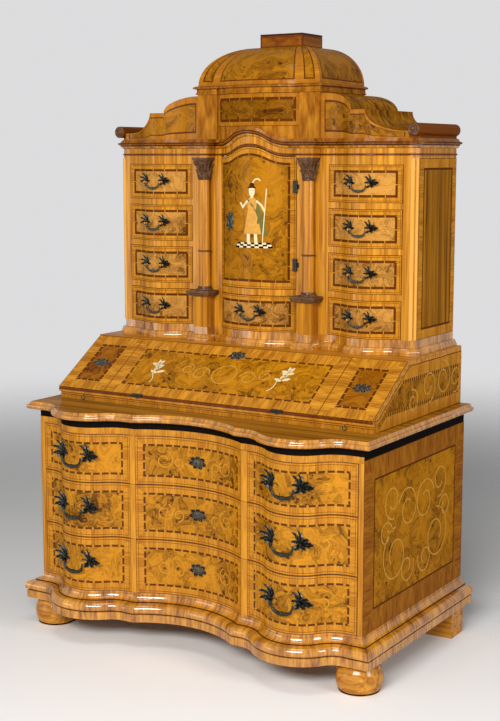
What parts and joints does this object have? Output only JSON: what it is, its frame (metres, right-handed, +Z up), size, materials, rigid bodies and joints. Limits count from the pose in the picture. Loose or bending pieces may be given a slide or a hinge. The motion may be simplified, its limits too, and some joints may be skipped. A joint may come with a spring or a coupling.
{
  "type": "bureau cabinet",
  "caption": "Tall writing cabinet: serpentine chest of drawers, slant-front desk with fall flap, and an upper cabinet with door, columns, small drawers and a domed pediment.",
  "frame": {"origin": "on the floor, under the middle of the cabinet's width and depth", "axes": "+Z up, +X to the viewer's right, -Y towards the front"},
  "size_m": [1.336, 0.868, 2.013],
  "materials": {
    "walnut_side": "figured walnut veneer, shellac polish",
    "inner_wood": "plain softwood, unpolished",
    "ebonised_wood": "black stained pearwood, polished",
    "walnut_moulding": "cross-grained walnut moulding, polished",
    "walnut_foot": "turned walnut, polished",
    "walnut_front": "burr walnut veneer with inlay, polished",
    "upper_front": "burr walnut veneer with inlay, polished",
    "column_wood": "turned walnut, polished",
    "carved_dark": "carved and darkened limewood",
    "pediment_veneer": "walnut veneer with inlay, polished",
    "finial_veneer": "reddish walnut veneer, polished",
    "patinated_brass": "cast brass with grey-green patina"
  },
  "bodies": {
    "carcase": {"chest_sides": "walnut_side", "chest_boards": "inner_wood", "ebonised_band": "ebonised_wood", "chest_top": "walnut_moulding", "base_moulding": "walnut_moulding", "feet": "walnut_foot", "desk_carcase": "walnut_side", "desk_interior": "inner_wood", "fixed_hinges": "patinated_brass", "cabinet_sides": "walnut_side", "cabinet_boards": "inner_wood", "pilasters": "upper_front", "cabinet_moulding": "walnut_moulding", "pedestals": "upper_front", "column_shafts": "column_wood", "column_capitals": "carved_dark", "frieze": "upper_front", "cornice": "walnut_moulding", "shoulders": "pediment_veneer", "attic": "pediment_veneer", "dome": "pediment_veneer", "finial": "finial_veneer"},
    "chest drawer 1": {"chest_drawer_1": "walnut_front", "chest_mounts_1": "patinated_brass"},
    "chest bail 1 left": {"chest_bail_1_left": "patinated_brass"},
    "chest bail 1 right": {"chest_bail_1_right": "patinated_brass"},
    "chest drawer 2": {"chest_drawer_2": "walnut_front", "chest_mounts_2": "patinated_brass"},
    "chest bail 2 left": {"chest_bail_2_left": "patinated_brass"},
    "chest bail 2 right": {"chest_bail_2_right": "patinated_brass"},
    "chest drawer 3": {"chest_drawer_3": "walnut_front", "chest_mounts_3": "patinated_brass"},
    "chest bail 3 left": {"chest_bail_3_left": "patinated_brass"},
    "chest bail 3 right": {"chest_bail_3_right": "patinated_brass"},
    "upper drawer left 1": {"upper_drawer_left_1": "upper_front"},
    "upper bail left 1": {"upper_bail_left_1": "patinated_brass"},
    "upper drawer right 1": {"upper_drawer_right_1": "upper_front"},
    "upper bail right 1": {"upper_bail_right_1": "patinated_brass"},
    "upper drawer left 2": {"upper_drawer_left_2": "upper_front"},
    "upper bail left 2": {"upper_bail_left_2": "patinated_brass"},
    "upper drawer right 2": {"upper_drawer_right_2": "upper_front"},
    "upper bail right 2": {"upper_bail_right_2": "patinated_brass"},
    "upper drawer left 3": {"upper_drawer_left_3": "upper_front"},
    "upper bail left 3": {"upper_bail_left_3": "patinated_brass"},
    "upper drawer right 3": {"upper_drawer_right_3": "upper_front"},
    "upper bail right 3": {"upper_bail_right_3": "patinated_brass"},
    "upper drawer left 4": {"upper_drawer_left_4": "upper_front"},
    "upper bail left 4": {"upper_bail_left_4": "patinated_brass"},
    "upper drawer right 4": {"upper_drawer_right_4": "upper_front"},
    "upper bail right 4": {"upper_bail_right_4": "patinated_brass"},
    "centre drawer": {"centre_drawer": "upper_front"},
    "centre bail": {"centre_bail": "patinated_brass"},
    "fall flap": {"fall_flap": "walnut_front", "flap_mounts": "patinated_brass"},
    "loper left": {"loper_left": "walnut_front"},
    "loper ring left": {"loper_ring_left": "patinated_brass"},
    "loper right": {"loper_right": "walnut_front"},
    "loper ring right": {"loper_ring_right": "patinated_brass"},
    "door": {"door": "upper_front", "door_mounts": "patinated_brass"}
  },
  "joints": [
    {"name": "chest_drawer_1_slide", "type": "slide", "parent": "carcase", "child": "chest drawer 1", "axis": [0, -1, 0], "range_m": [0, 0.4]},
    {"name": "chest_bail_1_left_swing", "type": "hinge", "parent": "chest drawer 1", "child": "chest bail 1 left", "pos_m": [-0.402, -0.4, 0.63], "axis": [-1, 0, 0], "range_deg": [0, 80]},
    {"name": "chest_bail_1_right_swing", "type": "hinge", "parent": "chest drawer 1", "child": "chest bail 1 right", "pos_m": [0.402, -0.4, 0.63], "axis": [-1, 0, 0], "range_deg": [0, 80]},
    {"name": "chest_drawer_2_slide", "type": "slide", "parent": "carcase", "child": "chest drawer 2", "axis": [0, -1, 0], "range_m": [0, 0.4]},
    {"name": "chest_bail_2_left_swing", "type": "hinge", "parent": "chest drawer 2", "child": "chest bail 2 left", "pos_m": [-0.402, -0.4, 0.457], "axis": [-1, 0, 0], "range_deg": [0, 80]},
    {"name": "chest_bail_2_right_swing", "type": "hinge", "parent": "chest drawer 2", "child": "chest bail 2 right", "pos_m": [0.402, -0.4, 0.457], "axis": [-1, 0, 0], "range_deg": [0, 80]},
    {"name": "chest_drawer_3_slide", "type": "slide", "parent": "carcase", "child": "chest drawer 3", "axis": [0, -1, 0], "range_m": [0, 0.4]},
    {"name": "chest_bail_3_left_swing", "type": "hinge", "parent": "chest drawer 3", "child": "chest bail 3 left", "pos_m": [-0.402, -0.4, 0.2735], "axis": [-1, 0, 0], "range_deg": [0, 80]},
    {"name": "chest_bail_3_right_swing", "type": "hinge", "parent": "chest drawer 3", "child": "chest bail 3 right", "pos_m": [0.402, -0.4, 0.2735], "axis": [-1, 0, 0], "range_deg": [0, 80]},
    {"name": "upper_drawer_left_1_slide", "type": "slide", "parent": "carcase", "child": "upper drawer left 1", "axis": [0, -1, 0], "range_m": [0, 0.2]},
    {"name": "upper_bail_left_1_swing", "type": "hinge", "parent": "upper drawer left 1", "child": "upper bail left 1", "pos_m": [-0.401, 0.064, 1.515], "axis": [-1, 0, 0], "range_deg": [0, 80]},
    {"name": "upper_drawer_right_1_slide", "type": "slide", "parent": "carcase", "child": "upper drawer right 1", "axis": [0, -1, 0], "range_m": [0, 0.2]},
    {"name": "upper_bail_right_1_swing", "type": "hinge", "parent": "upper drawer right 1", "child": "upper bail right 1", "pos_m": [0.401, 0.064, 1.515], "axis": [-1, 0, 0], "range_deg": [0, 80]},
    {"name": "upper_drawer_left_2_slide", "type": "slide", "parent": "carcase", "child": "upper drawer left 2", "axis": [0, -1, 0], "range_m": [0, 0.2]},
    {"name": "upper_bail_left_2_swing", "type": "hinge", "parent": "upper drawer left 2", "child": "upper bail left 2", "pos_m": [-0.401, 0.064, 1.373], "axis": [-1, 0, 0], "range_deg": [0, 80]},
    {"name": "upper_drawer_right_2_slide", "type": "slide", "parent": "carcase", "child": "upper drawer right 2", "axis": [0, -1, 0], "range_m": [0, 0.2]},
    {"name": "upper_bail_right_2_swing", "type": "hinge", "parent": "upper drawer right 2", "child": "upper bail right 2", "pos_m": [0.401, 0.064, 1.373], "axis": [-1, 0, 0], "range_deg": [0, 80]},
    {"name": "upper_drawer_left_3_slide", "type": "slide", "parent": "carcase", "child": "upper drawer left 3", "axis": [0, -1, 0], "range_m": [0, 0.2]},
    {"name": "upper_bail_left_3_swing", "type": "hinge", "parent": "upper drawer left 3", "child": "upper bail left 3", "pos_m": [-0.401, 0.064, 1.228], "axis": [-1, 0, 0], "range_deg": [0, 80]},
    {"name": "upper_drawer_right_3_slide", "type": "slide", "parent": "carcase", "child": "upper drawer right 3", "axis": [0, -1, 0], "range_m": [0, 0.2]},
    {"name": "upper_bail_right_3_swing", "type": "hinge", "parent": "upper drawer right 3", "child": "upper bail right 3", "pos_m": [0.401, 0.064, 1.228], "axis": [-1, 0, 0], "range_deg": [0, 80]},
    {"name": "upper_drawer_left_4_slide", "type": "slide", "parent": "carcase", "child": "upper drawer left 4", "axis": [0, -1, 0], "range_m": [0, 0.2]},
    {"name": "upper_bail_left_4_swing", "type": "hinge", "parent": "upper drawer left 4", "child": "upper bail left 4", "pos_m": [-0.401, 0.064, 1.083], "axis": [-1, 0, 0], "range_deg": [0, 80]},
    {"name": "upper_drawer_right_4_slide", "type": "slide", "parent": "carcase", "child": "upper drawer right 4", "axis": [0, -1, 0], "range_m": [0, 0.2]},
    {"name": "upper_bail_right_4_swing", "type": "hinge", "parent": "upper drawer right 4", "child": "upper bail right 4", "pos_m": [0.401, 0.064, 1.083], "axis": [-1, 0, 0], "range_deg": [0, 80]},
    {"name": "centre_drawer_slide", "type": "slide", "parent": "carcase", "child": "centre drawer", "axis": [0, -1, 0], "range_m": [0, 0.2]},
    {"name": "centre_bail_swing", "type": "hinge", "parent": "centre drawer", "child": "centre bail", "pos_m": [0, 0.048, 1.084], "axis": [-1, 0, 0], "range_deg": [0, 80]},
    {"name": "fall_flap_hinge", "type": "hinge", "parent": "carcase", "child": "fall flap", "pos_m": [0, -0.2144, 0.8198], "axis": [1, 0, 0], "range_deg": [0, 147]},
    {"name": "loper_left_slide", "type": "slide", "parent": "carcase", "child": "loper left", "axis": [0, -1, 0], "range_m": [0, 0.25]},
    {"name": "loper_ring_left_swing", "type": "hinge", "parent": "loper left", "child": "loper ring left", "pos_m": [-0.505, -0.2055, 0.797], "axis": [-1, 0, 0], "range_deg": [0, 80]},
    {"name": "loper_right_slide", "type": "slide", "parent": "carcase", "child": "loper right", "axis": [0, -1, 0], "range_m": [0, 0.25]},
    {"name": "loper_ring_right_swing", "type": "hinge", "parent": "loper right", "child": "loper ring right", "pos_m": [0.505, -0.2055, 0.797], "axis": [-1, 0, 0], "range_deg": [0, 80]},
    {"name": "door_hinge", "type": "hinge", "parent": "carcase", "child": "door", "pos_m": [0.149, 0.1108, 1.38], "axis": [0, 0, 1], "range_deg": [0, 80]}
  ]
}
